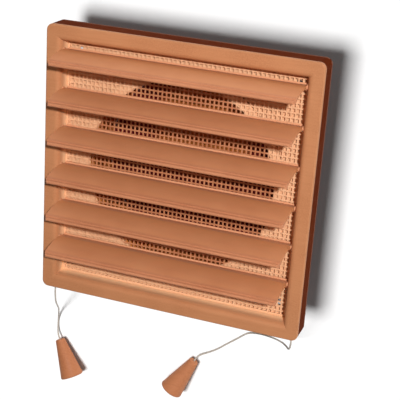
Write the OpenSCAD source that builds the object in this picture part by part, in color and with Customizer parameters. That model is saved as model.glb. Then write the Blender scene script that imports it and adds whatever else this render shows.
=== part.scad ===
// Louvred vent grille: a square face with six linked blades, an insect screen,
// a round spigot and two pull cords with cone-shaped knobs.
// The origin is the middle of the spigot's rim. Z points out of the wall and Y points up the wall.

/* [Face frame] */
// Side of the square face
grille_w = 150; // [140:1:170]
// Radius of the four outer corners
corner_r = 3.5; // [3:0.1:6]
// Radius of the outer front edge
edge_r = 0.8; // [0.4:0.1:1.4]
// Width of the border from the outside to the opening
border_w = 8.5; // [8:0.1:11]
// Radius of the front edge round the opening
lip_r = 3; // [2:0.1:3.4]
// Thickness of the face
face_t = 2; // [1.6:0.1:3]
// Wall of the collar that carries the blades
collar_t = 1.8; // [1.4:0.1:2]
// Depth of the collar behind the front of the face
collar_depth = 9.2; // [8.8:0.1:10]

/* [Housing] */
// Depth from the wall to the front of the face
frame_depth = 14; // [13.5:0.1:18]
// Wall of the housing's sides
skirt_t = 2; // [1.4:0.1:2.2]
// Thickness of the back plate
plate_t = 2; // [1.6:0.1:2.4]
// Outside diameter of the spigot
spigot_od = 109; // [97:1:112]
// Wall of the spigot
spigot_t = 2.1; // [1.5:0.1:3]
// Length of the spigot behind the wall face
spigot_len = 24; // [18:1:60]
// Lead-in chamfer on the spigot's rim
rim_chamfer = 1; // [0.5:0.1:1.4]
// Width of the flange that holds the spigot in the back plate
spigot_flange_w = 3; // [2:0.5:6]
// Thickness of that flange
spigot_flange_t = 1; // [0.6:0.1:1.4]
// How much thicker the spigot is where it fills the hole in the back plate
spigot_seat = 0.8; // [0.5:0.1:1.5]
// Radial play between the spigot and the back plate
spigot_play = 0.05; // [0.02:0.01:0.1]
// Distance between the wall screws
wall_screw_spacing = 120; // [112:1:122]
// Radius of the wall screw holes
wall_screw_r = 2.1; // [1.6:0.1:2.6]

/* [Frame screws] */
// Distance of each screw from the middle of its side
screw_offset = 45; // [20:1:55]
// Radius of the screw's shank
screw_r = 1; // [0.8:0.1:1.2]
// Radius of the countersunk head
screw_head_r = 1.9; // [1.6:0.1:2.1]
// Height of the countersunk head
screw_head_h = 1; // [0.8:0.1:1.2]
// Length of the screw
screw_len = 9; // [6:0.5:10]
// Length of each slot of the cross in the screw's head
screw_slot_len = 2.3; // [1.8:0.1:2.6]
// Width of each slot
screw_slot_w = 0.5; // [0.3:0.05:0.6]
// Depth of each slot
screw_slot_depth = 0.5; // [0.3:0.05:0.7]
// Depth of the screw's hole past its tip
screw_hole_spare = 0.5; // [0.2:0.1:1]
// Play between a screw's boss and the walls on both sides of it
boss_play = 0.15; // [0.1:0.05:0.3]

/* [Insect screen] */
// Distance from strand to strand across the screen
warp_pitch = 2.4; // [1.5:0.1:4]
// Distance from strand to strand up the screen
weft_pitch = 2.6; // [1.5:0.1:4]
// Width of a strand
strand_w = 1; // [0.4:0.05:1.2]
// Thickness of a strand
strand_t = 0.3; // [0.15:0.05:0.4]
// Play between the screen's edge and the ledge's outer face
screen_play = 0.3; // [0.2:0.1:0.6]

/* [Blades] */
// From the top of the opening to the first pivot
top_gap = 5.25; // [5:0.05:6]
// From the closed lip of the lowest blade to the bottom of the opening
bottom_gap = 0.55; // [0.4:0.05:1]
// Outer radius of the curved section
blade_r = 34; // [32:0.5:40]
// Thickness of a blade
blade_t = 1.5; // [1.2:0.1:1.6]
// From the pivot out to the highest point of the curve
crest_out = 4.6; // [4:0.1:5]
// From the pivot back to the tail
tail_back = 4.4; // [4:0.1:4.5]
// Height of the rib along the tail
rib_h = 0.9; // [0.4:0.1:1]
// Thickness of that rib
rib_t = 0.8; // [0.6:0.1:1.2]
// From the tail to that rib
rib_in = 0.1; // [0.05:0.05:0.3]
// How much a blade's reach is shorter than the distance from blade to blade
lip_short = 0.2; // [0.1:0.1:0.6]
// Radius of the rounded lip
nose_r = 1; // [0.8:0.1:1.1]
// Radius that rounds off the two corners of the lip
lip_corner_r = 4; // [2:0.5:6]
// Height of the bead along the lip
bead_h = 0.25; // [0.1:0.05:0.4]
// Width of the bead
bead_w = 1.8; // [1:0.1:3]
// From the bead to the end of the lip
bead_back = 1.9; // [1.9:0.1:4]
// Play between each end of a blade and the collar
blade_play = 0.7; // [0.4:0.1:1]
// Depth of the pivots behind the front of the face
pivot_depth = 3.8; // [3.6:0.1:4]
// Radius of the pivot pins
pin_r = 1.3; // [1:0.1:1.5]
// Radius of the boss under each end of a blade
pin_boss_r = 1.9; // [1.7:0.1:2.2]
// Length of that boss
pin_boss_len = 3; // [2:0.5:5]
// Radial clearance of every pin in its bore
running_gap = 0.05; // [0.02:0.01:0.1]
// Turn of the blades from open to closed
close_angle = 75; // [60:1:75]

/* [Linkage] */
// Distance from the pivot to the crank pin
crank_r = 6; // [5.5:0.1:6.1]
// Thickness of a lever
lever_t = 1.5; // [1.2:0.1:1.6]
// Play between the levers and the collar
lever_play = 0.2; // [0.1:0.05:0.3]
// Play between the levers' hubs and the back of the face
hub_play = 0.2; // [0.1:0.05:0.3]
// Width of the square end on which the hub sits
square_end_w = 1.4; // [1.2:0.1:1.6]
// How much the square end is shorter than the lever is thick
square_end_short = 0.1; // [0.05:0.05:0.3]
// Width of the lever's arm
arm_w = 2.6; // [2:0.1:3]
// Radius of the lever's eye
eye_r = 1.6; // [1.4:0.1:1.7]
// Radius of the crank pin
crank_pin_r = 1; // [0.8:0.1:1.1]
// Thickness of a link bar
bar_t = 1.4; // [1.2:0.1:1.5]
// Width of a link bar
bar_w = 3.4; // [2.8:0.1:3.4]
// Play between the link bars and the levers
bar_play = 0.2; // [0.1:0.05:0.3]
// From the last crank pin to the end of a link bar
bar_end = 2; // [1.8:0.1:2.2]
// How far a crank pin stands out of the link bar
pin_stand_out = 0.2; // [0.1:0.05:0.3]

/* [Guide roller] */
// Radius of the cord's path round the roller
roller_path_r = 2; // [1.8:0.1:2]
// Radius of the roller's rims
roller_r = 2.3; // [2.2:0.05:2.35]
// Width of the roller
roller_w = 1.6; // [1.4:0.1:1.7]
// Radius of the roller's pin
roller_pin_r = 0.7; // [0.6:0.05:0.8]
// Half width of the lugs that hold the pin
lug_r = 2.2; // [1.8:0.1:2.3]
// Thickness of the inner lug
lug_t = 1.2; // [1:0.1:1.3]
// From the roller's middle to the inside of the housing's top
roller_down = 3; // [2.8:0.1:3.2]
// Radial play of the cord in the roller's groove
groove_play = 0.1; // [0.05:0.05:0.2]

/* [Cords and knobs] */
// Diameter of the cords
cord_d = 1; // [0.8:0.1:1.1]
// Length of cord that stands out of a link bar's end
cord_end_len = 2.6; // [2:0.1:3]
// Play between pieces of cord that move apart, and beside the roller
cord_play = 0.3; // [0.2:0.05:0.4]
// Radius of the hole in an eyelet
eyelet_bore_r = 0.75; // [0.65:0.05:0.85]
// Wall of an eyelet
eyelet_t = 0.65; // [0.5:0.05:0.7]
// Width of an eyelet's inner flange
eyelet_flange_w = 0.5; // [0.4:0.1:0.6]
// Length of a knob
knob_len = 24; // [20:0.5:28]
// Radius of a knob's wide end
knob_base_r = 7; // [6:0.1:8]
// Radius of a knob's narrow end
knob_tip_r = 2.8; // [2.4:0.1:3.4]
// Radius of the edge round the wide end
knob_edge_r = 0.8; // [0.4:0.1:1.2]
// Depth of the hollow in the wide end
knob_hollow_depth = 2.4; // [1:0.1:6]
// Wall round the hollow
knob_wall = 1.6; // [1.2:0.1:2.2]
// Radius of the cord's hole at the narrow end
knob_cord_r = 0.7; // [0.6:0.05:0.9]
// Radius of the hole behind the knot
knob_bore_r = 1.7; // [1.6:0.1:2]
// Radius of the stopper knot
knot_r = 1.4; // [1.2:0.1:1.5]

/* [Hidden] */
$fn = 64;

terracotta = [0.76, 0.51, 0.37];
blade_brown = [0.7, 0.43, 0.28];
dark_brown = [0.33, 0.11, 0.06];
screen_pale = [0.9, 0.7, 0.54];
nylon_white = [0.86, 0.82, 0.76];
cord_grey = [0.74, 0.69, 0.64];
steel = [0.6, 0.6, 0.62];

// Overshoot of a cutting tool past the face that it cuts
over = 1;
left = -1;
right = 1;

half = grille_w / 2;
open_half = half - border_w;
collar_out = open_half + collar_t;
skirt_in = half - skirt_t;

wall_z = spigot_len;
plate_top = wall_z + plate_t;
face_z = wall_z + frame_depth;
face_back = face_z - face_t;
collar_z = face_z - collar_depth;
screen_z = collar_z - 2 * strand_t;
screen_half = collar_out - screen_play;
half_warp = floor((open_half - strand_w / 2) / warp_pitch);
half_weft = floor((open_half - strand_w / 2) / weft_pitch);
spigot_r = spigot_od / 2;
spigot_ri = spigot_r - spigot_t;
seat_r = spigot_r + spigot_seat;

boss_r = (skirt_in - collar_out) / 2 - boss_play;
boss_y = (skirt_in + collar_out) / 2;

blade_count = 6;
blade_pitch = (2 * open_half - top_gap - bottom_gap) / blade_count;
pivot_z = face_z - pivot_depth;
blade_half = open_half - blade_play;
blade_mid_r = blade_r - blade_t / 2;
arc_y = -sqrt(blade_mid_r * blade_mid_r - crest_out * crest_out);
tail_angle = asin((-tail_back - crest_out) / blade_mid_r);
rib_from = asin((rib_in - tail_back - crest_out) / blade_mid_r);
rib_to = asin((rib_in + rib_t - tail_back - crest_out) / blade_mid_r);
nose_angle = asin((blade_pitch - lip_short - nose_r - crest_out) / blade_mid_r);
bead_to = asin((blade_pitch - lip_short - bead_back - crest_out) / blade_r);
bead_from = asin((blade_pitch - lip_short - bead_back - bead_w - crest_out) / blade_r);

crank_angle = close_angle / 2;
crank_y = -crank_r * sin(crank_angle);
crank_z = pivot_z - crank_r * cos(crank_angle);
lever_x = collar_out + lever_play;
lever_end = lever_x + lever_t;
hub_r = face_back - pivot_z - hub_play;
bar_x = lever_end + bar_play;
cord_x = bar_x + bar_t / 2;
cord_r = cord_d / 2;
travel = 2 * crank_r * sin(crank_angle);

bar_low = pivot_y(blade_count) + crank_y - bar_end;
bar_high = pivot_y(1) + crank_y + bar_end;

eyelet_r = eyelet_bore_r + eyelet_t;
roller_y = skirt_in - roller_down;
roller_z = crank_z + roller_path_r;
closing_cord_z = roller_z + roller_path_r;
outer_lug_x = cord_x + roller_w / 2 + cord_play;

// Routes of the free cords from the eyelet to the knob's narrow end
left_route = [
    [-70.9, -75, 29.4], [-70.9, -79, 29.4], [-70.9, -83.5, 29.4], [-71.5, -89, 27.3],
    [-73.2, -94.5, 21.8], [-76.2, -100, 14.3], [-79.4, -105.5, 7.4], [-81.7, -110.5, 2.8],
    [-82.8, -115, 0.8], [-83, -119, 0.65], [-82.6, -122.2, 1.4], [-81.8, -124.8, 2.4], [-80.4, -127.4, 2.9]
];
right_route = [
    [70.9, -75, 33.4], [70.9, -77, 33.4], [70.9, -79, 33.4], [70, -83, 31], [68, -86.5, 25.5],
    [64.8, -89.5, 17.5], [60.5, -92, 9.8], [55, -93.8, 4], [49, -94.6, 1.1], [43, -94.8, 0.65],
    [37.5, -96.2, 0.65], [31.5, -101, 0.65], [25, -106.4, 0.65], [19.5, -111, 0.65],
    [14.4, -114.2, 0.9], [11, -116, 1.6], [8.8, -117.7, 2.4], [7.3, -120.3, 2.9]
];
// Direction in which each knob points on the surface, from its narrow end to its wide end
knob_turn_left = -62.4;
knob_turn_right = -120.4;
knob_slope = atan((knob_base_r - knob_tip_r) / knob_len);
// From the knob's narrow end to the middle of the knot
knot_up = knob_len - knob_hollow_depth - 2 * knot_r;

// Height of pivot number i up the wall
function pivot_y(i) = open_half - top_gap - (i - 1) * blade_pitch;

function unit(v) = v / norm(v);
// Point at fraction t between b and c on a smooth curve through a, b, c and d
function smooth(a, b, c, d, t) =
    b + 0.5 * t * (c - a + t * (2 * a - 5 * b + 4 * c - d + t * (3 * (b - c) + d - a)));
function route_point(p, i) = p[max(0, min(len(p) - 1, i))];
// The route with each stretch cut into n steps
function rounded_route(p, n) = concat(
    [for (i = [0 : len(p) - 2], k = [0 : n - 1])
        smooth(route_point(p, i - 1), p[i], p[i + 1], route_point(p, i + 2), k / n)],
    [p[len(p) - 1]]
);
function headings(p) = [for (i = [0 : len(p) - 1]) unit(route_point(p, i + 1) - route_point(p, i - 1))];
// A direction across the cord that is carried from ring to ring without twisting
function carried(t, n, i = 0) =
    i == len(t) ? [] : let (m = unit(n - (n * t[i]) * t[i])) concat([m], carried(t, m, i + 1));

// Square of half width h with corners of radius r
module rounded_square(h, r) {
    square([2 * h, 2 * (h - r)], center = true);
    square([2 * (h - r), 2 * h], center = true);
    for (x = [r - h, h - r], y = [r - h, h - r]) translate([x, y]) circle(r = r);
}

// Extrudes a section drawn as [up the wall, out of the wall] along X
module along_x(from, length) {
    translate([from, 0, 0]) rotate([90, 0, 90]) linear_extrude(length) children();
}

// Cylinder along X that starts at x
module rod_x(x, y, z, r, length) {
    translate([x, y, z]) rotate([0, 90, 0]) cylinder(h = length, r = r);
}

// Cylinder along Y between two heights up the wall
module rod_y(x, y_low, y_high, z, r) {
    translate([x, y_high, z]) rotate([90, 0, 0]) cylinder(h = y_high - y_low, r = r);
}

// Face and collar from the opening outwards, drawn as [distance from the middle, height]
module border_section() {
    difference() {
        union() {
            translate([open_half, face_back]) square([border_w - corner_r, face_t]);
            translate([open_half, collar_z]) square([collar_t, face_z - collar_z]);
        }
        difference() {
            translate([open_half - over, face_z - lip_r]) square([over + lip_r, lip_r + over]);
            translate([open_half + lip_r, face_z - lip_r]) circle(r = lip_r);
        }
    }
}

// Outer part of the face with its rounded edge, from the given distance outwards
module edge_section(from) {
    difference() {
        translate([from, face_back]) square([corner_r, face_t]);
        difference() {
            translate([from + corner_r - edge_r, face_z - edge_r]) square([edge_r + over, edge_r + over]);
            translate([from + corner_r - edge_r, face_z - edge_r]) circle(r = edge_r);
        }
    }
}

module border() {
    straight = half - corner_r;
    for (a = [0 : 90 : 270]) rotate([0, 0, a]) {
        intersection() {
            rotate([90, 0, 0]) linear_extrude(2 * half, center = true) border_section();
            linear_extrude(face_z + over) polygon([[0, 0], [half, -half], [half, half]]);
        }
        rotate([90, 0, 0]) linear_extrude(2 * straight, center = true) edge_section(straight);
        translate([straight, straight, 0]) rotate_extrude(angle = 90) edge_section(0);
    }
}

// Puts its children at the four screws that hold the front frame
module at_frame_screws() {
    for (x = [-screw_offset, screw_offset], y = [-boss_y, boss_y]) translate([x, y, wall_z]) children();
}

module front_frame() {
    color(terracotta) difference() {
        union() {
            border();
            at_frame_screws() translate([0, 0, plate_t])
                cylinder(h = frame_depth - plate_t - face_t / 2, r = boss_r);
        }
        at_frame_screws() cylinder(h = screw_len + screw_hole_spare, r = screw_r + running_gap);
        for (i = [1 : blade_count], x = [-collar_out - over, open_half - over])
            rod_x(x, pivot_y(i), pivot_z, pin_r + running_gap, collar_t + 2 * over);
    }
}

// Spigot, pushed through the back plate from inside and bonded there under its flange,
// drawn as [distance from the axis, height]
module spigot_section() {
    flange_top = plate_top + spigot_flange_t;
    flange_r = spigot_r + spigot_flange_w;
    polygon([
        [spigot_ri, 0], [spigot_r - rim_chamfer, 0], [spigot_r, rim_chamfer], [spigot_r, wall_z],
        [seat_r, wall_z], [seat_r, plate_top],
        [flange_r, plate_top], [flange_r, flange_top], [spigot_ri, flange_top]
    ]);
}

module duct_spigot() {
    color(dark_brown) rotate_extrude() spigot_section();
}

module roller_lug(x, length) {
    translate([x, roller_y - lug_r, plate_top]) cube([length, 2 * lug_r, roller_z - plate_top]);
    rod_x(x, roller_y, roller_z, lug_r, length);
}

module housing() {
    color(dark_brown) difference() {
        union() {
            translate([0, 0, wall_z]) linear_extrude(plate_t) rounded_square(half, corner_r);
            translate([0, 0, wall_z]) linear_extrude(frame_depth - face_t) difference() {
                rounded_square(half, corner_r);
                rounded_square(skirt_in, corner_r - skirt_t);
            }
            translate([0, 0, plate_top]) linear_extrude(screen_z - plate_top) difference() {
                square(2 * collar_out, center = true);
                square(2 * open_half, center = true);
            }
            roller_lug(lever_x, lug_t);
            roller_lug(outer_lug_x, skirt_in - outer_lug_x + skirt_t / 2);
        }
        translate([0, 0, wall_z - over]) cylinder(h = plate_t + 2 * over, r = seat_r + spigot_play);
        for (x = [-0.5, 0.5], y = [-0.5, 0.5])
            translate([x * wall_screw_spacing, y * wall_screw_spacing, wall_z - over])
                cylinder(h = plate_t + 2 * over, r = wall_screw_r);
        at_frame_screws() {
            translate([0, 0, -over]) cylinder(h = plate_t + 2 * over, r = screw_r + 2 * running_gap);
            cylinder(h = screw_head_h, r1 = screw_head_r + 2 * running_gap, r2 = screw_r + 2 * running_gap);
        }
        eyelet_hole(left);
        eyelet_hole(right);
        rod_x(lever_x - over, roller_y, roller_z, roller_pin_r + running_gap, skirt_in - lever_x + over);
    }
}

function eyelet_z(side) = side == left ? crank_z : closing_cord_z;

// Hole for an eyelet, with a flat seat for its flange cut into the rounded inner corner
module eyelet_hole(side) {
    hole_r = eyelet_r + running_gap;
    rod_y(side * cord_x, -half - over, -skirt_in + over, eyelet_z(side), hole_r);
    rod_y(side * cord_x, -skirt_in, -skirt_in + corner_r, eyelet_z(side), hole_r + eyelet_flange_w);
}

module cord_eyelet(side) {
    color(nylon_white) difference() {
        union() {
            rod_y(side * cord_x, -half, -skirt_in, eyelet_z(side), eyelet_r);
            rod_y(side * cord_x, -skirt_in, -skirt_in + eyelet_t, eyelet_z(side), eyelet_r + eyelet_flange_w);
        }
        rod_y(side * cord_x, -half - over, -skirt_in + eyelet_t + over, eyelet_z(side), eyelet_bore_r);
    }
}

module frame_screws() {
    color(steel) at_frame_screws() difference() {
        union() {
            cylinder(h = screw_head_h, r1 = screw_head_r, r2 = screw_r);
            cylinder(h = screw_len, r = screw_r);
        }
        for (a = [0, 90]) rotate([0, 0, a])
            translate([-screw_slot_len / 2, -screw_slot_w / 2, -over])
                cube([screw_slot_len, screw_slot_w, over + screw_slot_depth]);
    }
}

// One layer of parallel strands with a strip along both ends, lying along Y,
// with a strand at each of the given distances from the middle
module strands(places) {
    strip = screen_half - open_half + strand_w;
    linear_extrude(strand_t) {
        for (x = places) translate([x - strand_w / 2, -screen_half]) square([strand_w, 2 * screen_half]);
        for (y = [-screen_half, screen_half - strip]) translate([-screen_half, y])
            square([2 * screen_half, strip]);
    }
}

module screen_warp() {
    places = [for (i = [-half_warp : half_warp]) i * warp_pitch];
    color(screen_pale) translate([0, 0, screen_z]) strands(places);
}

module screen_weft() {
    places = [for (i = [-half_weft : half_weft - 1]) (i + 0.5) * weft_pitch];
    color(screen_pale) translate([0, 0, screen_z + strand_t]) rotate([0, 0, 90]) strands(places);
}

// Stretch of the curved wall between two radii and two angles, drawn from the pivot
module arc_band(r_in, r_out, from, to) {
    reach = 2 * r_out;
    translate([arc_y, crest_out]) intersection() {
        difference() {
            circle(r = r_out, $fn = 256);
            circle(r = r_in, $fn = 256);
        }
        polygon([[0, 0], reach * [cos(from), sin(from)], reach * [cos(to), sin(to)]]);
    }
}

module blade_section() {
    arc_band(blade_r - blade_t, blade_r, tail_angle, nose_angle);
    arc_band(blade_r - blade_t / 2, blade_r + rib_h, rib_from, rib_to);
    arc_band(blade_r - blade_t / 2, blade_r + bead_h, bead_from, bead_to);
    translate([arc_y, crest_out] + blade_mid_r * [cos(nose_angle), sin(nose_angle)]) circle(r = nose_r);
}

// Outline of a blade seen from above, as wide as the blade and rounded at both ends of the lip
module blade_outline() {
    front = blade_pitch - lip_short + over;
    corner_x = blade_half - lip_corner_r;
    corner_z = front - lip_corner_r;
    rotate([90, 0, 0]) linear_extrude(2 * blade_r, center = true) {
        translate([-blade_half, -blade_r]) square([2 * blade_half, blade_r + corner_z]);
        translate([-corner_x, 0]) square([2 * corner_x, front]);
        for (x = [-corner_x, corner_x]) translate([x, corner_z]) circle(r = lip_corner_r);
    }
}

// Boss round the pivot, on the hollow side of the blade only
module boss_section() {
    intersection() {
        circle(r = pin_boss_r);
        translate([arc_y, crest_out]) circle(r = blade_r, $fn = 256);
    }
}

module blade(i) {
    square_len = lever_t - square_end_short;
    pin_len = lever_x - blade_half;
    color(blade_brown) translate([0, pivot_y(i), pivot_z]) {
        intersection() {
            along_x(-blade_half - over, 2 * (blade_half + over)) blade_section();
            blade_outline();
        }
        for (side = [left, right]) {
            along_x(side * (blade_half - pin_boss_len / 2) - pin_boss_len / 2, pin_boss_len) boss_section();
            rod_x(side * (blade_half + pin_len / 2) - pin_len / 2, 0, 0, pin_r, pin_len);
            translate([side * (lever_x + square_len / 2), 0, 0])
                cube([square_len, square_end_w, square_end_w], center = true);
        }
    }
}

// Lever drawn round its pivot, with the crank pin at its open position
module lever_section() {
    square_hole = square_end_w + 2 * running_gap;
    difference() {
        union() {
            circle(r = hub_r);
            rotate(-90 - crank_angle) translate([0, -arm_w / 2]) square([crank_r, arm_w]);
            translate([crank_y, crank_z - pivot_z]) circle(r = eye_r);
        }
        square(square_hole, center = true);
    }
}

module crank_lever(side, i) {
    pin_len = bar_play + bar_t + pin_stand_out;
    pin_x = side * (lever_end + pin_len / 2) - pin_len / 2;
    color(nylon_white) translate([0, pivot_y(i), pivot_z]) {
        along_x(side * (lever_x + lever_end) / 2 - lever_t / 2, lever_t) lever_section();
        rod_x(pin_x, crank_y, crank_z - pivot_z, crank_pin_r, pin_len);
    }
}

module link_bar(side) {
    color(nylon_white) along_x(side * cord_x - bar_t / 2, bar_t) difference() {
        translate([bar_low, crank_z - bar_w / 2]) square([bar_high - bar_low, bar_w]);
        for (i = [1 : blade_count])
            translate([pivot_y(i) + crank_y, crank_z]) circle(r = crank_pin_r + running_gap);
    }
}

module roller_pin() {
    color(steel) rod_x(lever_x, roller_y, roller_z, roller_pin_r, skirt_in - lever_x);
}

module guide_roller() {
    hole_r = roller_pin_r + running_gap;
    color(nylon_white) translate([cord_x, roller_y, roller_z]) rotate([0, 90, 0])
        rotate_extrude() difference() {
            translate([hole_r, -roller_w / 2]) square([roller_r - hole_r, roller_w]);
            translate([roller_path_r, 0]) circle(r = cord_r + groove_play, $fn = 48);
        }
}

// Half turn of the closing cord over the top of the roller
module cord_over_roller() {
    color(cord_grey) translate([cord_x, roller_y, roller_z]) rotate([90, 0, 90]) rotate([0, 0, -90])
        rotate_extrude(angle = 180) translate([roller_path_r, 0]) circle(r = cord_r, $fn = 32);
}

// Short length of cord that stands out of the end of a link bar
module cord_end(side) {
    low = side == left ? bar_low - cord_end_len : bar_high;
    color(cord_grey) rod_y(side * cord_x, low, low + cord_end_len, crank_z, cord_r);
}

module inner_cord(side) {
    high = side == left ? bar_low - cord_end_len - cord_play : roller_y;
    color(cord_grey) rod_y(side * cord_x, -half, high, eyelet_z(side), cord_r);
}

// Tube of eight sides swept along a route
module swept_cord(route, across) {
    sides = 8;
    path = rounded_route(route, 2);
    ahead = headings(path);
    side_way = carried(ahead, across);
    turn = 360 / sides;
    rings = [for (i = [0 : len(path) - 1], k = [0 : sides - 1])
        path[i] + cord_r * (cos(k * turn) * side_way[i] + sin(k * turn) * cross(ahead[i], side_way[i]))];
    last = (len(path) - 1) * sides;
    walls = [for (i = [0 : len(path) - 2], k = [0 : sides - 1])
        [i * sides + k, (i + 1) * sides + k, (i + 1) * sides + (k + 1) % sides, i * sides + (k + 1) % sides]];
    near_cap = [for (k = [0 : sides - 1]) k];
    far_cap = [for (k = [sides - 1 : -1 : 0]) last + k];
    polyhedron(points = rings, faces = concat(walls, [near_cap, far_cap]));
}

function route(side) = side == left ? left_route : right_route;

module pull_cord(side) {
    color(cord_grey) swept_cord(route(side), [0, 0, 1]);
}

// Lays its children, drawn upwards from the knob's narrow end, along the knob on the surface
module at_knob(side) {
    tip = route(side)[len(route(side)) - 1];
    translate(tip) rotate([0, 90 - knob_slope, side == left ? knob_turn_left : knob_turn_right]) children();
}

module knob_section() {
    hollow_r = knob_base_r - knob_wall;
    floor_y = knob_len - knob_hollow_depth;
    slope = (knob_base_r - knob_tip_r) / knob_len;
    difference() {
        union() {
            polygon([
                [0, 0], [knob_tip_r - knob_edge_r, 0], [knob_tip_r + slope * knob_edge_r, knob_edge_r],
                [knob_base_r - slope * knob_edge_r, knob_len - knob_edge_r],
                [knob_base_r - knob_edge_r, knob_len], [0, knob_len]
            ]);
            translate([knob_tip_r - knob_edge_r + slope * knob_edge_r, knob_edge_r]) circle(r = knob_edge_r);
            translate([knob_base_r - knob_edge_r - slope * knob_edge_r, knob_len - knob_edge_r])
                circle(r = knob_edge_r);
        }
        translate([-over, floor_y]) square([hollow_r + over, knob_hollow_depth + over]);
        translate([-over, -over]) square([knob_cord_r + over, knob_len]);
        translate([-over, knot_up - knot_r]) square([knob_bore_r + over, knob_len]);
        translate([-2 * knob_base_r, -over]) square([2 * knob_base_r, knob_len + 2 * over]);
    }
}

module knob(side) {
    color(terracotta) at_knob(side) rotate_extrude() knob_section();
}

// Cord inside the knob, and the knot that the knob hangs on
module cord_knot(side) {
    color(cord_grey) at_knob(side) {
        cylinder(h = knot_up, r = cord_r, $fn = 32);
        translate([0, 0, knot_up]) sphere(r = knot_r, $fn = 32);
    }
}

front_frame();
housing();
duct_spigot();
screen_warp();
screen_weft();
frame_screws();
cord_eyelet(left);  // cord_eyelet_left
cord_eyelet(right);  // cord_eyelet_right
roller_pin();
cord_over_roller();
guide_roller();
blade(1);  // blade_1
blade(2);  // blade_2
blade(3);  // blade_3
blade(4);  // blade_4
blade(5);  // blade_5
blade(6);  // blade_6
crank_lever(left, 1);  // crank_lever_left_1
crank_lever(left, 2);  // crank_lever_left_2
crank_lever(left, 3);  // crank_lever_left_3
crank_lever(left, 4);  // crank_lever_left_4
crank_lever(left, 5);  // crank_lever_left_5
crank_lever(left, 6);  // crank_lever_left_6
crank_lever(right, 1);  // crank_lever_right_1
crank_lever(right, 2);  // crank_lever_right_2
crank_lever(right, 3);  // crank_lever_right_3
crank_lever(right, 4);  // crank_lever_right_4
crank_lever(right, 5);  // crank_lever_right_5
crank_lever(right, 6);  // crank_lever_right_6
link_bar(left);  // link_bar_left
link_bar(right);  // link_bar_right
cord_end(left);  // cord_end_left
cord_end(right);  // cord_end_right
inner_cord(left);  // inner_cord_left
inner_cord(right);  // inner_cord_right
pull_cord(left);  // pull_cord_left
pull_cord(right);  // pull_cord_right
knob(left);  // knob_left
knob(right);  // knob_right
cord_knot(left);  // cord_knot_left
cord_knot(right);  // cord_knot_right
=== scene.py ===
# %% [markdown]
# Louvred vent grille
# A square wall grille with six curved blades, an insect screen, a round spigot and two pull cords with cone knobs.
# The solids come from the frame, at their real size and in metres. This script gives them their finish, and models
# what the solids leave plain: the twisted cords, the woven screen and the knots. It lies on its back, face up.

# %% Load the frame
import math

import bmesh
import bpy
from mathutils import Matrix, Vector


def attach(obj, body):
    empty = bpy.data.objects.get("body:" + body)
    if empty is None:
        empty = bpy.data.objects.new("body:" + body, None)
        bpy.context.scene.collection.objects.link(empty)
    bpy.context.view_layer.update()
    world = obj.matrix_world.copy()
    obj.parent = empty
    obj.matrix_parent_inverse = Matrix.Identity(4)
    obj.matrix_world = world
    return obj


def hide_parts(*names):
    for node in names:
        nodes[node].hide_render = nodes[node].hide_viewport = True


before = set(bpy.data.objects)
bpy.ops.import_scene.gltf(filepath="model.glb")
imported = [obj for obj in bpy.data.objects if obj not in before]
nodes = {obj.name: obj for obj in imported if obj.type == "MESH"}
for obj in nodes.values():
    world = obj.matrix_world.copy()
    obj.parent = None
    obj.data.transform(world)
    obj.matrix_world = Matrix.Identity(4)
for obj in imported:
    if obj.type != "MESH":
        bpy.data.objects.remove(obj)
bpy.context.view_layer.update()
MM = 0.001

# %% [markdown]
# The camera comes first, because everything else is judged through it. It stands in front of the face, to the right
# and above, and a long lens keeps the perspective mild. Its turn could be set with angles, but three directions are
# easier to check: where it looks, what is up in the picture, and what follows from those two.

# %% Camera
camera_place = Vector((0.18978, 0.19391, 0.54554))
look_along = Vector((-0.3036, -0.3494, -0.8864)).normalized()
picture_up = Vector((-0.1789, 0.9347, -0.3072))
LENS_MM, SENSOR_MM = 99, 36

picture_right = look_along.cross(picture_up).normalized()
picture_up = picture_right.cross(look_along)
bpy.ops.object.select_all(action="DESELECT")
camera_data = bpy.data.cameras.new("camera")
camera_data.sensor_width = SENSOR_MM
camera_data.lens = LENS_MM
camera_data.clip_start = 10 * MM
camera = bpy.data.objects.new("camera", camera_data)
bpy.context.scene.collection.objects.link(camera)
turn = Matrix((picture_right, picture_up, -look_along)).transposed()
camera.matrix_world = Matrix.Translation(camera_place) @ turn.to_4x4()
bpy.context.scene.camera = camera
bpy.context.scene.view_settings.view_transform = "Standard"
print("camera", [round(x, 3) for x in camera_place], "lens", LENS_MM)

# %% [markdown]
# The two pull cords are free cords, so their routes are listed points: straight out of the housing for a few diameters,
# down in a slack curve, and along the surface to the knob. The same points are in the part's source, in millimetres.
# The left cord opens the blades and the right one closes them.

# %% Cord routes
CORD_D = 1.0 * MM
CORD_BODY = {"left": "opening_cord", "right": "closing_cord"}
left_route = [
    (-70.9, -75, 29.4), (-70.9, -79, 29.4), (-70.9, -83.5, 29.4), (-71.5, -89, 27.3),
    (-73.2, -94.5, 21.8), (-76.2, -100, 14.3), (-79.4, -105.5, 7.4), (-81.7, -110.5, 2.8),
    (-82.8, -115, 0.8), (-83, -119, 0.65), (-82.6, -122.2, 1.4), (-81.8, -124.8, 2.4), (-80.4, -127.4, 2.9),
]
right_route = [
    (70.9, -75, 33.4), (70.9, -77, 33.4), (70.9, -79, 33.4), (70, -83, 31), (68, -86.5, 25.5), (64.8, -89.5, 17.5),
    (60.5, -92, 9.8), (55, -93.8, 4), (49, -94.6, 1.1), (43, -94.8, 0.65), (37.5, -96.2, 0.65),
    (31.5, -101, 0.65), (25, -106.4, 0.65), (19.5, -111, 0.65), (14.4, -114.2, 0.9), (11, -116, 1.6),
    (8.8, -117.7, 2.4), (7.3, -120.3, 2.9),
]
routes = {"left": left_route, "right": right_route}
for side, route in routes.items():
    print(side, "route:", len(route), "points, from", route[0], "to", route[-1])

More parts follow.
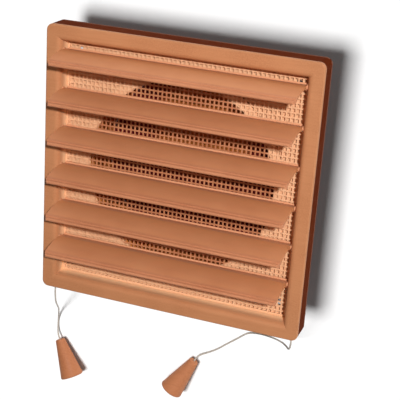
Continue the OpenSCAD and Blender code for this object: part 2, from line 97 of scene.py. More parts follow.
# %% [markdown]
# A cord bends softly, so its route needs a smooth curve through the points. That could be a NURBS, but a curve that
# passes through its points is easier to steer. Each stretch is a cubic that is fitted to four points in a row. The
# twist of the cord has to stay even, so the curve is then cut again into steps of one length.

# %% Smooth and even lines
def smooth_route(points, steps):
    """A curve through all the points, in metres, with each stretch cut into steps."""
    p = [Vector(q) * MM for q in points]
    p = [p[0]] + p + [p[-1]]
    line = []
    for a, b, c, d in zip(p, p[1:], p[2:], p[3:]):
        for k in range(steps):
            t = k / steps
            line.append(b + 0.5 * t * (c - a + t * (2 * a - 5 * b + 4 * c - d + t * (3 * (b - c) + d - a))))
    return line + [p[-1]]


def even_line(line, step):
    """The same line with points an equal step apart."""
    lengths = [0.0]
    for a, b in zip(line, line[1:]):
        lengths.append(lengths[-1] + (b - a).length)
    count = max(2, round(lengths[-1] / step))
    out, i = [], 0
    for k in range(count + 1):
        want = lengths[-1] * k / count
        while i < len(line) - 2 and lengths[i + 1] < want:
            i += 1
        share = (want - lengths[i]) / (lengths[i + 1] - lengths[i])
        out.append(line[i].lerp(line[i + 1], min(1.0, share)))
    return out, lengths[-1]


for side, route in routes.items():
    print(side, "route is", round(even_line(smooth_route(route, 8), 0.25 * MM)[1] * 1000, 1), "mm long")

# %% [markdown]
# The cord is one millimetre thick and twisted from three strands. It could be three thin tubes wound round one another,
# but those would cut through each other at every bend. One tube is made instead, whose radius rises and falls round the
# cord three times, and whose pattern turns once in each lay. The UV runs round the cord and along it, for the yarn.

# %% Twisted tube
STRANDS, LAY = 3, 3.2 * MM


def twisted_cord(name, line, length, radius, sides=18, relief=0.16):
    """A tube along the line whose surface has strands that wind round it, one turn for each lay."""
    mesh = bmesh.new()
    uv = mesh.loops.layers.uv.new("cord")
    step = length / (len(line) - 1)
    across = Vector((0.3, 0.1, 1.0))  # any direction that isn't along the cord, to start the first ring
    rings = []
    for i, point in enumerate(line):
        ahead = (line[min(i + 1, len(line) - 1)] - line[max(i - 1, 0)]).normalized()
        across = (across - across.dot(ahead) * ahead).normalized()
        aside = ahead.cross(across)
        ring = []
        for k in range(sides):
            angle = 2 * math.pi * k / sides
            strand = abs(math.sin(STRANDS / 2 * (angle - 2 * math.pi * i * step / LAY)))
            r = radius * (1 - relief * (1 - strand))
            ring.append(mesh.verts.new(point + r * (math.cos(angle) * across + math.sin(angle) * aside)))
        rings.append(ring)
    for i in range(len(rings) - 1):
        for k in range(sides):
            n = (k + 1) % sides
            face = mesh.faces.new((rings[i][k], rings[i][n], rings[i + 1][n], rings[i + 1][k]))
            corners = [(k, i), (k + 1, i), (k + 1, i + 1), (k, i + 1)]
            for loop, (u, v) in zip(face.loops, corners):
                loop[uv].uv = (u / sides, v * step / LAY)
    mesh.faces.new(list(reversed(rings[0])))
    mesh.faces.new(rings[-1])
    bmesh.ops.recalc_face_normals(mesh, faces=mesh.faces)
    data = bpy.data.meshes.new(name)
    mesh.to_mesh(data)
    mesh.free()
    cord = bpy.data.objects.new(name, data)
    bpy.context.scene.collection.objects.link(cord)
    for polygon in data.polygons:
        polygon.use_smooth = True
    print(name, "has", 2 * sides * (len(rings) - 1), "triangles in its wall")
    return cord


print("strands:", STRANDS, "with one turn in", round(LAY / MM, 1), "mm")

# %% [markdown]
# Each cord runs on inside its knob to an overhand knot, which the knob hangs on. The solid there is a plain ball, which
# could stay, but an open knob shows it. So the knot is tied here: a straight run along the knob, one turn of a trefoil,
# which is the curve of an overhand knot, and a short tail. The knob lies on its side, so its line is tipped by the
# cone's slope and turned on the surface. Lengths are in millimetres and angles in degrees.

# %% Knots in the knobs
KNOB_LEN, KNOB_TIP_R, KNOB_BASE_R = 24, 2.8, 7
KNOB_SLOPE = math.atan((KNOB_BASE_R - KNOB_TIP_R) / KNOB_LEN)
KNOB_TURNS = {"left": -62.4, "right": -120.4}
KNOT_UP, KNOT_R, KNOT_CORD_R, KNOT_SWING, KNOT_TAIL = 18.8, 1.4, 0.45, 0.8, 1.3
TREFOIL_START, TREFOIL_STEP, TREFOIL_POINTS = 60, 15, 23


def knot_line(tip, turn):
    """The line of the cord from the knob's narrow end through the knot, in millimetres."""
    along = [(0, 0, z) for z in (0, 4, 8, 12, 15, 16.6)]
    for k in range(TREFOIL_POINTS):
        t = math.radians(TREFOIL_START + TREFOIL_STEP * k)
        s = (KNOT_R - KNOT_CORD_R) / 3
        along.append((s * (math.sin(t) + 2 * math.sin(2 * t)), s * (math.cos(t) - 2 * math.cos(2 * t)),
                      KNOT_UP - KNOT_SWING * math.sin(3 * t)))
    along.append((0.2, 0.1, KNOT_UP + KNOT_TAIL))
    lay_down = Matrix.Rotation(math.radians(turn), 3, "Z") @ Matrix.Rotation(math.pi / 2 - KNOB_SLOPE, 3, "Y")
    return [Vector(tip) + lay_down @ Vector(point) for point in along]


knots = {}
for side, route in routes.items():
    line, length = even_line(smooth_route(knot_line(route[-1], KNOB_TURNS[side]), 6), 0.15 * MM)
    knot = twisted_cord("overhand_knot_" + side, line, length, KNOT_CORD_R * MM, sides=12)
    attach(knot, CORD_BODY[side])
    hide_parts("cord_knot_" + side)
    knots[side] = knot
    print("knot", side, "takes", round(length * 1000, 1), "mm of cord")

# %% [markdown]
# The part of each cord that shows runs from the housing to its knob. On the real grille it is what the hand pulls. It
# could be a curve with a round bevel, but the twisted tube has the strands in its shape.

# %% Pull cords
cords = {}
for side, route in routes.items():
    line, length = even_line(smooth_route(route, 8), 0.25 * MM)
    cord = twisted_cord("twisted_cord_" + side, line, length, CORD_D / 2)
    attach(cord, CORD_BODY[side])
    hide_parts("pull_cord_" + side)
    cords[side] = cord
    print("cord", side, "is", round(length * 1000, 1), "mm long")

# %% [markdown]
# By hand, a shape is made in steps: add a primitive, open it in edit mode, select a part of it, and change that part.
# The next pieces could be built point by point instead, but the operators show better how a person would model them.
# Four small helpers cover the steps. They select by place, because a script can't click.

# %% Selecting and shaping by place
NEAR, SMOOTH_BELOW = 0.01 * MM, 40


def start_shape(add, **settings):
    """Adds a primitive with nothing else selected, turns its place and size into its mesh, and opens it for editing."""
    if bpy.context.object and bpy.context.object.mode != "OBJECT":
        bpy.ops.object.mode_set(mode="OBJECT")
    bpy.ops.object.select_all(action="DESELECT")
    add(**settings)
    bpy.ops.object.transform_apply(location=True, rotation=True, scale=True)
    bpy.ops.object.mode_set(mode="EDIT")
    return bpy.context.object


def pick(piece, test, edges=False):
    """Selects the vertices that pass the test, or the edges whose two ends pass it together."""
    bpy.ops.mesh.select_mode(type="EDGE" if edges else "VERT")
    bpy.ops.mesh.select_all(action="DESELECT")
    mesh = bmesh.from_edit_mesh(piece.data)
    for part in mesh.edges if edges else mesh.verts:
        if test(part.verts[0].co, part.verts[1].co) if edges else test(part.co):
            part.select_set(True)
    mesh.select_flush_mode()
    bmesh.update_edit_mesh(piece.data)


def repeat(piece, count, offset, merge=False):
    """Repeats a piece with an Array modifier and applies it."""
    bpy.ops.object.mode_set(mode="OBJECT")
    array = piece.modifiers.new("repeat", "ARRAY")
    array.count = count
    array.use_relative_offset = False
    array.use_constant_offset = True
    array.constant_offset_displace = offset
    array.use_merge_vertices = merge
    array.merge_threshold = NEAR
    bpy.ops.object.modifier_apply(modifier="repeat")
    bpy.ops.object.mode_set(mode="EDIT")


def settle(piece, name):
    """Leaves edit mode with faces outward, names the piece, and smooths its shading but for the sharp edges."""
    bpy.ops.mesh.select_all(action="SELECT")
    bpy.ops.mesh.normals_make_consistent(inside=False)
    bpy.ops.object.mode_set(mode="OBJECT")
    piece.name = name
    piece.data.name = name
    bpy.ops.object.shade_smooth_by_angle(angle=math.radians(SMOOTH_BELOW))
    piece.data.calc_loop_triangles()
    print(name, "has", len(piece.data.loop_triangles), "triangles")


print("points closer than", NEAR * 1000, "mm count as one place")

# %% [markdown]
# The screen behind the blades is woven from flat plastic strands, and in the solids it is two flat layers that lie on
# each other. The weave could be a displacement, but the holes have to stay open, so each strand is modelled. A tube of
# six sides and two crossings long is bent up and down once, and Array modifiers repeat it. Every second strand is the
# same one, moved on by one crossing, so that it goes under where its neighbour goes over. Bisect trims what hangs over
# the edge.

# %% Strands
WARP_PITCH, WEFT_PITCH = 2.4 * MM, 2.6 * MM
WARP_COUNT, WEFT_COUNT = 55, 50
STRAND_W, STRAND_T = 1.0 * MM, 0.3 * MM
SCREEN_MIDDLE = 28.5 * MM
STRAND_END = 66.4 * MM
BENDS = 8


def woven_layer(name, pitch, crossing, first_up, count, turned):
    """A layer of strands a pitch apart, which go over and under the other layer from crossing to crossing."""
    strand = start_shape(bpy.ops.mesh.primitive_cylinder_add, vertices=6, radius=STRAND_W / 2, depth=2 * crossing,
                         end_fill_type="NOTHING", rotation=(math.pi / 2, 0, 0))
    bpy.ops.mesh.select_all(action="SELECT")
    tall = max(v.co.z for v in strand.data.vertices) * 2
    bpy.ops.transform.resize(value=(1, 1, STRAND_T / tall))
    pick(strand, lambda a, b: abs(a.y - b.y) > crossing, edges=True)
    bpy.ops.mesh.subdivide(number_cuts=BENDS - 1)
    half = BENDS // 2
    for k in range(BENDS + 1):
        y = (k - half) * crossing / half
        pick(strand, lambda v: abs(v.y - y) < NEAR)
        bpy.ops.transform.translate(value=(0, 0, STRAND_T / 2 * math.cos(math.pi * y / crossing)))
    cells = math.ceil(STRAND_END / crossing) + 2
    first_place = -(count - 1) / 2 * pitch
    bpy.ops.mesh.select_all(action="SELECT")
    bpy.ops.transform.translate(value=(first_place, first_up - 2 * crossing * (cells // 2), SCREEN_MIDDLE))
    repeat(strand, cells, (0, 2 * crossing, 0), merge=True)
    bpy.ops.mesh.select_all(action="SELECT")
    bpy.ops.mesh.duplicate()
    bpy.ops.transform.translate(value=(pitch, -crossing, 0))
    repeat(strand, math.ceil(count / 2), (2 * pitch, 0, 0))
    for way in (1, -1):
        for normal in ((0, way, 0), (way, 0, 0)):
            bpy.ops.mesh.select_all(action="SELECT")
            bpy.ops.mesh.bisect(plane_co=[STRAND_END * n for n in normal], plane_no=normal,
                                use_fill=True, clear_outer=True)
    if turned:
        bpy.ops.mesh.select_all(action="SELECT")
        bpy.ops.transform.rotate(value=math.pi / 2, orient_axis="Z", center_override=(0, 0, 0))
    settle(strand, name)
    return strand


woven_warp = woven_layer("woven_warp", WARP_PITCH, WEFT_PITCH, WEFT_PITCH / 2, WARP_COUNT, turned=False)
woven_weft = woven_layer("woven_weft", WEFT_PITCH, WARP_PITCH, WARP_PITCH, WEFT_COUNT, turned=True)

# %% [markdown]
# The strands end in a moulded border that the front frame clamps. Four bars would leave seams at the corners, so it
# starts as one flat square, which is inset to leave a narrow rim. The middle is taken out, the rim is pulled up to its
# thickness, and its edges are eased.

# %% Border of the screen
BORDER_OUT, BORDER_W, BORDER_EASE = 68 * MM, 2.5 * MM, 0.1 * MM
border = start_shape(bpy.ops.mesh.primitive_plane_add, size=2 * BORDER_OUT,
                     location=(0, 0, SCREEN_MIDDLE - STRAND_T))
bpy.ops.mesh.select_all(action="SELECT")
bpy.ops.mesh.inset(thickness=BORDER_W)
bpy.ops.mesh.delete(type="FACE")
bpy.ops.mesh.select_all(action="SELECT")
bpy.ops.mesh.extrude_region_move(TRANSFORM_OT_translate={"value": (0, 0, 2 * STRAND_T)})
bpy.ops.mesh.select_all(action="SELECT")
bpy.ops.mesh.bevel(offset=BORDER_EASE, segments=2)
settle(border, "screen_border")

for piece in (woven_warp, woven_weft, border):
    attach(piece, "frame")
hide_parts("screen_warp")
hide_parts("screen_weft")

# %% [markdown]
# Finishes are node materials. Colours are written as they look, from 0 to 255, and turned to the linear values that
# the shader works with. Patterns read Object coordinates, which are in metres here, so a noise scale of 1000 gives
# spots a millimetre wide. Where a moulding has two tones, a mask made from the same coordinates chooses between them.

# %% Shader helpers
def srgb(r, g, b):
    """A colour as it looks, 0 to 255, as linear values."""
    def linear(c):
        c = c / 255
        return c / 12.92 if c <= 0.04045 else ((c + 0.055) / 1.055) ** 2.4
    return (linear(r), linear(g), linear(b), 1.0)


class Finish:
    """A material with its Principled shader, and short ways to add nodes to it."""

    def __init__(self, name):
        self.material = bpy.data.materials.new(name)
        self.material.use_nodes = True
        self.tree = self.material.node_tree
        self.shader = self.tree.nodes["Principled BSDF"]

    def node(self, kind, settings=None, **inputs):
        """Adds a node. Settings are its own options, and inputs are its sockets, by name."""
        node = self.tree.nodes.new("ShaderNode" + kind)
        for key, value in (settings or {}).items():
            setattr(node, key, value)
        for key, value in inputs.items():
            self.put(node.inputs[key.replace("_", " ")], value)
        return node

    def put(self, socket, value):
        """Sets a socket to a number or colour, or links it to another socket."""
        if isinstance(value, bpy.types.NodeSocket):
            self.tree.links.new(value, socket)
        else:
            socket.default_value = value

    def coordinates(self):
        """A point's place on the piece, which stays when the piece moves."""
        return self.node("TexCoord").outputs["Object"]

    def noise(self, scale, detail=3.0, where=None):
        """Soft random spots, as many in a metre as the scale says."""
        where = where or self.coordinates()
        return self.node("TexNoise", Vector=where, Scale=scale, Detail=detail).outputs["Fac"]

    def spread(self, value, low, high, to_low, to_high):
        """Stretches a value's range low to high over the range to_low to to_high."""
        stretched = self.node("MapRange", Value=value, From_Min=low, From_Max=high, To_Min=to_low, To_Max=to_high)
        return stretched.outputs[0]

    def mix(self, share, a, b):
        """Colour a where the share is 0, and colour b where it is 1."""
        node = self.node("Mix", {"data_type": "RGBA"})
        self.put(node.inputs[0], share)
        self.put(node.inputs[6], a)
        self.put(node.inputs[7], b)
        return node.outputs[2]

    def bump(self, height, depth):
        """A relief of the given depth that only the light sees."""
        return self.node("Bump", Strength=1.0, Distance=depth, Height=height).outputs["Normal"]

    def math(self, operation, a, b=0.0):
        """A sum at each point, such as MULTIPLY."""
        node = self.node("Math", {"operation": operation})
        self.put(node.inputs[0], a)
        self.put(node.inputs[1], b)
        return node.outputs[0]

    def paint(self, colour):
        """Gives the shader its colour."""
        self.put(self.shader.inputs["Base Color"], colour)


print("mid grey 128 is", round(srgb(128, 128, 128)[0], 3), "as a linear value")

# %% [markdown]
# A mask is a value from 0 to 1 over the piece. It could be painted, but here it is worked out from where a point is:
# how high, how far from the middle on a square or a circle, and whether it is on an edge. An edge has no coordinate of
# its own. The Bevel node gives the normal that a rounded edge would have, and where that turns away, there is an edge.

# %% Measures for masks
def height(f):
    """How high a point is above the floor."""
    return f.node("SeparateXYZ", Vector=f.coordinates()).outputs["Z"]


def square_distance(f):
    """How far a point is from the middle of the face, on a square: the larger of its two offsets."""
    place = f.node("SeparateXYZ", Vector=f.coordinates()).outputs
    return f.math("MAXIMUM", f.math("ABSOLUTE", place["X"]), f.math("ABSOLUTE", place["Y"]))


def round_distance(f, middle=(0, 0)):
    """How far a point is from an upright line through the middle, which is the duct's axis unless given."""
    away = f.node("VectorMath", {"operation": "SUBTRACT"})
    f.put(away.inputs[0], f.coordinates())
    f.put(away.inputs[1], (*middle, 0))
    flat = f.node("VectorMath", {"operation": "MULTIPLY"})
    f.put(flat.inputs[0], away.outputs["Vector"])
    f.put(flat.inputs[1], (1, 1, 0))
    length = f.node("VectorMath", {"operation": "LENGTH"})
    f.put(length.inputs[0], flat.outputs["Vector"])
    return length.outputs["Value"]


def on_edge(f, radius):
    """1 on an outer or inner edge and 0 on a flat face: how far a rounded normal turns from the true one."""
    turn = f.node("VectorMath", {"operation": "DOT_PRODUCT"})
    f.put(turn.inputs[0], f.node("Bevel", {"samples": 4}, Radius=radius).outputs[0])
    f.put(turn.inputs[1], f.node("NewGeometry").outputs["Normal"])
    return f.spread(turn.outputs["Value"], 1.0, 0.9, 0, 1)


print("measures: height, square distance, round distance and edge")

# %% [markdown]
# The grille is moulded from dyed plastic. Real mouldings are never one flat colour: the dye lies in soft blotches, fine
# dust and speckle sit in the grain, and handling rubs the edges paler. The blotches and the speckle are two noises, the
# worn edges come from the Bevel node, and a fine noise in the bump gives the satin skin. It could be painted by hand,
# but a pattern of nodes needs no unwrapping and holds at any distance.

# %% Moulded plastic
BLOTCHES, SHINE_SPOTS, SCUFFS, STREAKS, SPECKS, GRAINS = 45, 220, 300, 900, 1600, 2600  # spots in a metre
STREAK_STRETCH = (0.06, 1, 1)
WORN_RADIUS, WEAR, GRAIN_DEPTH = 0.5 * MM, (0.2, 0.45), 0.02 * MM


def moulded_plastic(name, light, dark, rough=(0.5, 0.66), specular=0.2, worn=None):
    """Dyed plastic straight from the mould. Returns the finish and its colour, so that masks can be laid over it."""
    f = Finish(name)
    blotch = f.spread(f.noise(BLOTCHES, 2), 0.35, 0.65, 0, 1)
    speck = f.spread(f.noise(SPECKS, 2), 0.3, 0.7, 0, 1)
    colour = f.mix(f.math("MULTIPLY", blotch, speck), light, dark)
    streak = f.node("Mapping", Vector=f.coordinates(), Scale=STREAK_STRETCH).outputs[0]
    colour = f.mix(f.spread(f.noise(STREAKS, 3, streak), 0.45, 0.7, 0, 0.35), colour, dark)
    if worn:
        scuffed = f.spread(f.noise(SCUFFS, 2), 0.35, 0.6, *WEAR)
        colour = f.mix(f.math("MULTIPLY", on_edge(f, WORN_RADIUS), scuffed), colour, worn)
    f.paint(colour)
    f.put(f.shader.inputs["Roughness"], f.spread(f.noise(SHINE_SPOTS, 3), 0.3, 0.7, *rough))
    f.put(f.shader.inputs["Normal"], f.bump(f.noise(GRAINS, 4), GRAIN_DEPTH))
    f.shader.inputs["Specular IOR Level"].default_value = specular
    return f, colour


def dress(piece, material):
    """Gives every face of a piece one material."""
    piece.data.materials.clear()
    piece.data.materials.append(material)


print("grain of the plastic: specks of", round(1000 / SPECKS, 1), "mm, blotches of", round(1000 / BLOTCHES), "mm")

# %% [markdown]
# The face and the knobs are terracotta plastic. They could share one finish, but the knobs are handled and a little
# darker. On the face, the recess grows paler towards the screen. A mask of height and place makes that change. The
# pairs below say between which two places each mask goes over from one tone to the other.

# %% Face and knobs
RECESS_HEIGHTS, RECESS_EDGE = (36.5 * MM, 31 * MM), (68 * MM, 69.5 * MM)

f, face_colour = moulded_plastic("face_terracotta", srgb(192, 131, 90), srgb(178, 117, 78), worn=srgb(224, 168, 128))
recess = f.math("MULTIPLY", f.spread(height(f), *RECESS_HEIGHTS, 0, 1),
                f.spread(square_distance(f), *RECESS_EDGE, 1, 0))
f.paint(f.mix(recess, face_colour, srgb(252, 206, 160)))
dress(nodes["front_frame"], f.material)

f, _ = moulded_plastic("knob_terracotta", srgb(192, 124, 84), srgb(174, 106, 70), worn=srgb(222, 162, 124))
for side in ("left", "right"):
    dress(nodes["knob_" + side], f.material)
print("face and knobs dressed; the recess is palest", round(RECESS_HEIGHTS[1] / MM), "mm up")

# %% [markdown]
# The screen is the palest plastic of the grille. Over the duct, where little light comes back from behind, a round mask
# paints it darker in spots, which is painted shade. The levers, link bars, eyelets and the roller are natural nylon, an
# off-white that is common
# for small moving parts. They could be dark, but against the terracotta the pale ones make the mechanism easy to see.

# %% Screen and nylon
SCREEN_SHADE_EDGE, SCREEN_SHADE_SPOTS = (51.5 * MM, 53.5 * MM), 120

f, screen_colour = moulded_plastic("screen_strands", srgb(230, 180, 140), srgb(214, 160, 120))
# Painted shade: the strands over the duct are darkened for the light that the dark duct doesn't send back.
over_duct = f.spread(round_distance(f), *SCREEN_SHADE_EDGE, 1, 0)
screen_shade = f.mix(f.spread(f.noise(SCREEN_SHADE_SPOTS, 3), 0.3, 0.7, 0, 1), srgb(188, 126, 88), srgb(168, 106, 72))
f.paint(f.mix(over_duct, screen_colour, screen_shade))
for piece in (woven_warp, woven_weft, border, nodes["screen_warp"], nodes["screen_weft"]):
    dress(piece, f.material)

f, _ = moulded_plastic("natural_nylon", srgb(222, 214, 198), srgb(208, 198, 180), rough=(0.35, 0.5),
                       worn=srgb(240, 234, 222))
nylon_parts = ["guide_roller"]
for side in ("left", "right"):
    nylon_parts += ["link_bar_" + side, "cord_eyelet_" + side]
    nylon_parts += ["crank_lever_%s_%d" % (side, i) for i in range(1, 7)]
for name in nylon_parts:
    dress(nodes[name], f.material)
print("nylon parts:", len(nylon_parts))

# %% [markdown]
# A blade is a thin arc with a thick lip in front. Its tone follows the height: a pale tail, which is a painted
# highlight along the crest, a body that is painted lighter and warmer towards the tail for the light that falls on the
# crest, and the plain terracotta on the lip. Three masks are quick and easy to set.

# %% Blades
CREST_HIGHLIGHT_HEIGHTS, CREST_LIGHT_HEIGHTS, LIP_HEIGHTS = (35.6 * MM, 36.4 * MM), (38 * MM, 47 * MM), (51 * MM, 52.5 * MM)
BODY_SPOTS = 60

f, blade_colour = moulded_plastic("blade_terracotta", srgb(198, 131, 94), srgb(182, 115, 80), worn=srgb(220, 160, 120))
# Painted highlight: the pale band at the tail. Painted light: the warm mask brightens the body towards the crest.
tail = f.spread(height(f), *CREST_HIGHLIGHT_HEIGHTS, 1, 0)
warm = f.spread(height(f), *CREST_LIGHT_HEIGHTS, 1, 0)
body = f.spread(height(f), *LIP_HEIGHTS, 1, 0)
body_colour = f.mix(f.spread(f.noise(BODY_SPOTS, 2), 0.3, 0.7, 0, 1), srgb(208, 141, 99), srgb(200, 132, 91))
body_colour = f.mix(warm, body_colour, srgb(220, 150, 100))
blade_colour = f.mix(body, blade_colour, body_colour)
f.paint(f.mix(tail, blade_colour, srgb(206, 146, 108)))
for i in range(1, 7):
    dress(nodes["blade_%d" % i], f.material)
print("blade tone changes", round(CREST_HIGHLIGHT_HEIGHTS[1] / MM), "mm and", round(LIP_HEIGHTS[1] / MM), "mm above the floor")

# %% [markdown]
# The housing and the spigot are terracotta. Their outside is painted the dark red-brown that terracotta has in shade,
# which is painted shade, and inside, where they show behind the screen, they are pale terracotta. On the real grille
# that may be two mouldings or one that is painted. They could be two materials on one mesh, but masks need no faces to
# be chosen. The edge of the back plate is paler, and the air way of the spigot is a warm brown.

# %% Housing and spigot
INSIDE_EDGE, INSIDE_HEIGHTS = (73.2 * MM, 73.8 * MM), (24.4 * MM, 24.8 * MM)
PLATE_EDGE, PLATE_HEIGHTS, PLATE_PALENESS = (74.3 * MM, 74.6 * MM), (25.4 * MM, 26 * MM), 0.8
AIR_WAY_EDGE, FLANGE_HEIGHTS = (53.2 * MM, 53.6 * MM), (26.5 * MM, 26.8 * MM)
pale_inside = srgb(232, 178, 136)


def shaded_terracotta(name):
    """Terracotta painted the dull red-brown that it has in shade, for the outside."""
    return moulded_plastic(name, srgb(96, 36, 2), srgb(84, 27, 1), rough=(0.7, 0.85), specular=0.02,
                           worn=srgb(122, 62, 30))


# Painted shade: the outside of the housing has the dark tone of terracotta in shade.
f, housing_colour = shaded_terracotta("housing_shaded")
inside = f.math("MULTIPLY", f.spread(square_distance(f), *INSIDE_EDGE, 1, 0),
                f.spread(height(f), *INSIDE_HEIGHTS, 0, 1))
plate_edge = f.math("MULTIPLY", f.spread(square_distance(f), *PLATE_EDGE, 0, 1),
                    f.spread(height(f), *PLATE_HEIGHTS, 1, 0))
housing_colour = f.mix(inside, housing_colour, pale_inside)
f.paint(f.mix(f.math("MULTIPLY", plate_edge, PLATE_PALENESS), housing_colour, srgb(128, 84, 68)))
dress(nodes["housing"], f.material)

# Painted shade: the outside of the spigot has the dark tone of terracotta in shade.
f, spigot_colour = shaded_terracotta("spigot_shaded")
air_way = f.spread(round_distance(f), *AIR_WAY_EDGE, 1, 0)
flange = f.spread(height(f), *FLANGE_HEIGHTS, 0, 1)
spigot_colour = f.mix(air_way, spigot_colour, srgb(226, 138, 66))
f.paint(f.mix(flange, spigot_colour, pale_inside))
dress(nodes["duct_spigot"], f.material)
print("masks: inside of the housing, edge of its plate, air way and flange of the spigot")

# %% [markdown]
# The cords are off-white polyester yarn that has greyed. The yarn could carry single fibres as geometry, but the cord
# is a millimetre thick, so a noise on the cord's own UV, which follows its twist, is enough, with some sheen for the
# fuzz. The screws and the roller's pin are zinc-plated steel: full metal, with a fine, uneven gloss.

# %% Cord yarn and steel
YARN_SPOTS, YARN_ROUGH, YARN_SHEEN = 40, 0.85, 0.3
ZINC_CLOUDS, ZINC_SCRATCHES = 500, 900

yarn = Finish("cord_yarn")
fibre = yarn.noise(YARN_SPOTS, 2, yarn.node("TexCoord").outputs["UV"])
yarn.paint(yarn.mix(fibre, srgb(214, 204, 192), srgb(160, 148, 136)))
yarn.shader.inputs["Roughness"].default_value = YARN_ROUGH
yarn.shader.inputs["Sheen Weight"].default_value = YARN_SHEEN

steel = Finish("zinc_steel")
steel.paint(steel.mix(steel.noise(ZINC_CLOUDS, 2), srgb(176, 176, 180), srgb(140, 140, 146)))
steel.shader.inputs["Metallic"].default_value = 1.0
steel.put(steel.shader.inputs["Roughness"], steel.spread(steel.noise(ZINC_SCRATCHES, 2), 0.3, 0.7, 0.25, 0.45))

for side in ("left", "right"):
    dress(cords[side], yarn.material)
    dress(knots[side], yarn.material)
    for name in ("inner_cord_", "cord_end_", "cord_knot_"):
        dress(nodes[name + side], yarn.material)
dress(nodes["cord_over_roller"], yarn.material)
dress(nodes["frame_screws"], steel.material)
dress(nodes["roller_pin"], steel.material)
print("finishes:", [m.name for m in bpy.data.materials])

# %% [markdown]
# The studio is a pale floor under an even sky. The picture has a white background, which could come from strong light,
# but that would wash out the grille. Here the sky is weak as a light and white only to the eye: Light Path tells
# camera, glossy and transmission rays from the rest.

# %% Sky
def show_as_white(tree, level, seen_level):
    """A strength that is level for light that falls on things, and seen_level for what eye, gloss and glass see."""
    seen = tree.nodes.new("ShaderNodeLightPath")
    first = tree.nodes.new("ShaderNodeMath")
    second = tree.nodes.new("ShaderNodeMath")
    strength = tree.nodes.new("ShaderNodeMapRange")
    first.operation = "MAXIMUM"
    second.operation = "MAXIMUM"
    tree.links.new(seen.outputs["Is Camera Ray"], first.inputs[0])
    tree.links.new(seen.outputs["Is Glossy Ray"], first.inputs[1])
    tree.links.new(first.outputs[0], second.inputs[0])
    tree.links.new(seen.outputs["Is Transmission Ray"], second.inputs[1])
    tree.links.new(second.outputs[0], strength.inputs["Value"])
    strength.inputs["To Min"].default_value = level
    strength.inputs["To Max"].default_value = seen_level
    return strength.outputs[0]


SKY_LEVEL = 0.06
world = bpy.data.worlds.new("sky")
bpy.context.scene.world = world
world.use_nodes = True
sky = world.node_tree.nodes["Background"]
sky.inputs["Color"].default_value = (1, 1, 1, 1)
world.node_tree.links.new(show_as_white(world.node_tree, SKY_LEVEL, 1.0), sky.inputs["Strength"])
print("sky level", SKY_LEVEL)

# %% [markdown]
# The floor is a plain sheet that catches the shadow. Far from the grille it glows for the eye, so that it stays white
# up to the horizon, and near it the glow is too weak to fill the shadow. In the wall, the duct behind the screen would
# be dark, and so would the wall behind the four screw holes. So the floor is painted brown under the housing, which is
# painted shade, and a disc lies in the spigot with painted shade and light: deep brown-red shade, with a paler patch
# painted where light falls in. Both belong to the stage, not to the part.

# %% Floor and duct shade
FLOOR_SIZE, FLOOR_GREY = 4, 0.85
SHADE_PATCH_EDGE = (58 * MM, 62 * MM)
GLOW_REACH, GLOW_LEVELS = (0.25, 0.8), (0.04, 0.6)
DISC_R, DISC_UP = 52 * MM, 0.1 * MM
LIT_MIDDLE, LIT_EDGE = (2 * MM, 20 * MM), (24 * MM, 31 * MM)

bpy.ops.object.select_all(action="DESELECT")
bpy.ops.mesh.primitive_plane_add(size=FLOOR_SIZE)
floor = bpy.context.object
floor.name = "floor"
f = Finish("pale_floor")
# Painted shade: brown under the housing, for the dark wall behind the screw holes.
brown = f.spread(square_distance(f), *SHADE_PATCH_EDGE, 1, 0)
floor_colour = f.mix(brown, (FLOOR_GREY, FLOOR_GREY, FLOOR_GREY, 1), srgb(110, 50, 24))
glow_level = f.spread(round_distance(f), *GLOW_REACH, *GLOW_LEVELS)
seen_glow = f.math("MULTIPLY", show_as_white(f.tree, 0.0, 1.0), glow_level)
both = f.node("AddShader")
f.put(both.inputs[0], f.node("BsdfDiffuse", Color=floor_colour).outputs[0])
f.put(both.inputs[1], f.node("Emission", Color=(1, 1, 1, 1), Strength=seen_glow).outputs[0])
f.put(f.tree.nodes["Material Output"].inputs["Surface"], both.outputs[0])
dress(floor, f.material)

bpy.ops.object.select_all(action="DESELECT")
bpy.ops.mesh.primitive_circle_add(vertices=96, radius=DISC_R, fill_type="NGON", location=(0, 0, DISC_UP))
disc = bpy.context.object
disc.name = "duct_shade"
f, lit_brown = moulded_plastic("duct_light_and_shade", srgb(196, 116, 56), srgb(180, 100, 44), rough=(0.6, 0.8), specular=0.05)
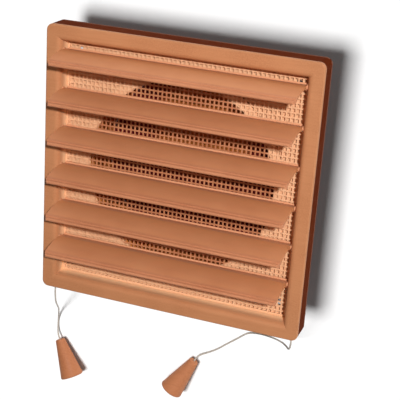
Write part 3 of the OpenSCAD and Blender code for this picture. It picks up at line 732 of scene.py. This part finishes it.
# Painted shadow and light: the disc is deep brown-red in the shade of the duct and paler where light falls in.
deep = f.spread(round_distance(f, LIT_MIDDLE), *LIT_EDGE, 0, 1)
f.paint(f.mix(deep, lit_brown, srgb(108, 28, 30)))
dress(disc, f.material)
print("floor", FLOOR_SIZE, "m square, disc", round(2 * DISC_R / MM), "mm across")

# %% [markdown]
# Three lamps do the rest. A small one near the camera lights the grille and throws the narrow shadow under each lip,
# and a weak, warm one fills those shadows. One lamp could do for all, but the shadow on the floor is much softer and
# falls another way. So light linking keeps these two off the floor, and a large lamp high overhead lights nothing but
# the floor. Each lamp is set by the level that a surface facing it receives, where 1 shows a colour as it is written.

# %% Lamps
def soft_lamp(name, place, aim, size, level, tint=(1, 1, 1)):
    """A square lamp that lights a surface facing it at the given level."""
    lamp = bpy.data.lights.new(name, "AREA")
    lamp.size = size
    lamp.color = tint
    distance = (Vector(aim) - Vector(place)).length
    lamp.energy = level * math.pi ** 2 * distance ** 2
    holder = bpy.data.objects.new(name, lamp)
    bpy.context.scene.collection.objects.link(holder)
    holder.location = place
    holder.rotation_mode = "QUATERNION"
    holder.rotation_quaternion = (Vector(aim) - Vector(place)).to_track_quat("-Z", "Y")
    return holder


def light_for(lamp, piece, state):
    """Says whether the lamp lights only this piece (INCLUDE) or all but this piece (EXCLUDE)."""
    linked = bpy.data.collections.new(lamp.name + "_lights")
    linked.objects.link(piece)
    linked.collection_objects[0].light_linking.link_state = state
    lamp.light_linking.receiver_collection = linked


near_lamp = soft_lamp("near_lamp", (0.434, 0.406, 0.905), aim=(0, 0, 0.03), size=0.049, level=1.04)
floor_lamp = soft_lamp("floor_lamp", (-0.37, -0.12, 3.0), aim=(0, 0, 0), size=1.0, level=1.19)
fill_lamp = soft_lamp("fill_lamp", (0.1, 0.35, 1.3), aim=(0, 0, 0), size=1.2, level=0.07, tint=(1, 0.72, 0.45))
light_for(near_lamp, floor, "EXCLUDE")
light_for(fill_lamp, floor, "EXCLUDE")
light_for(floor_lamp, floor, "INCLUDE")
print("lamps:", near_lamp.name, fill_lamp.name, floor_lamp.name)
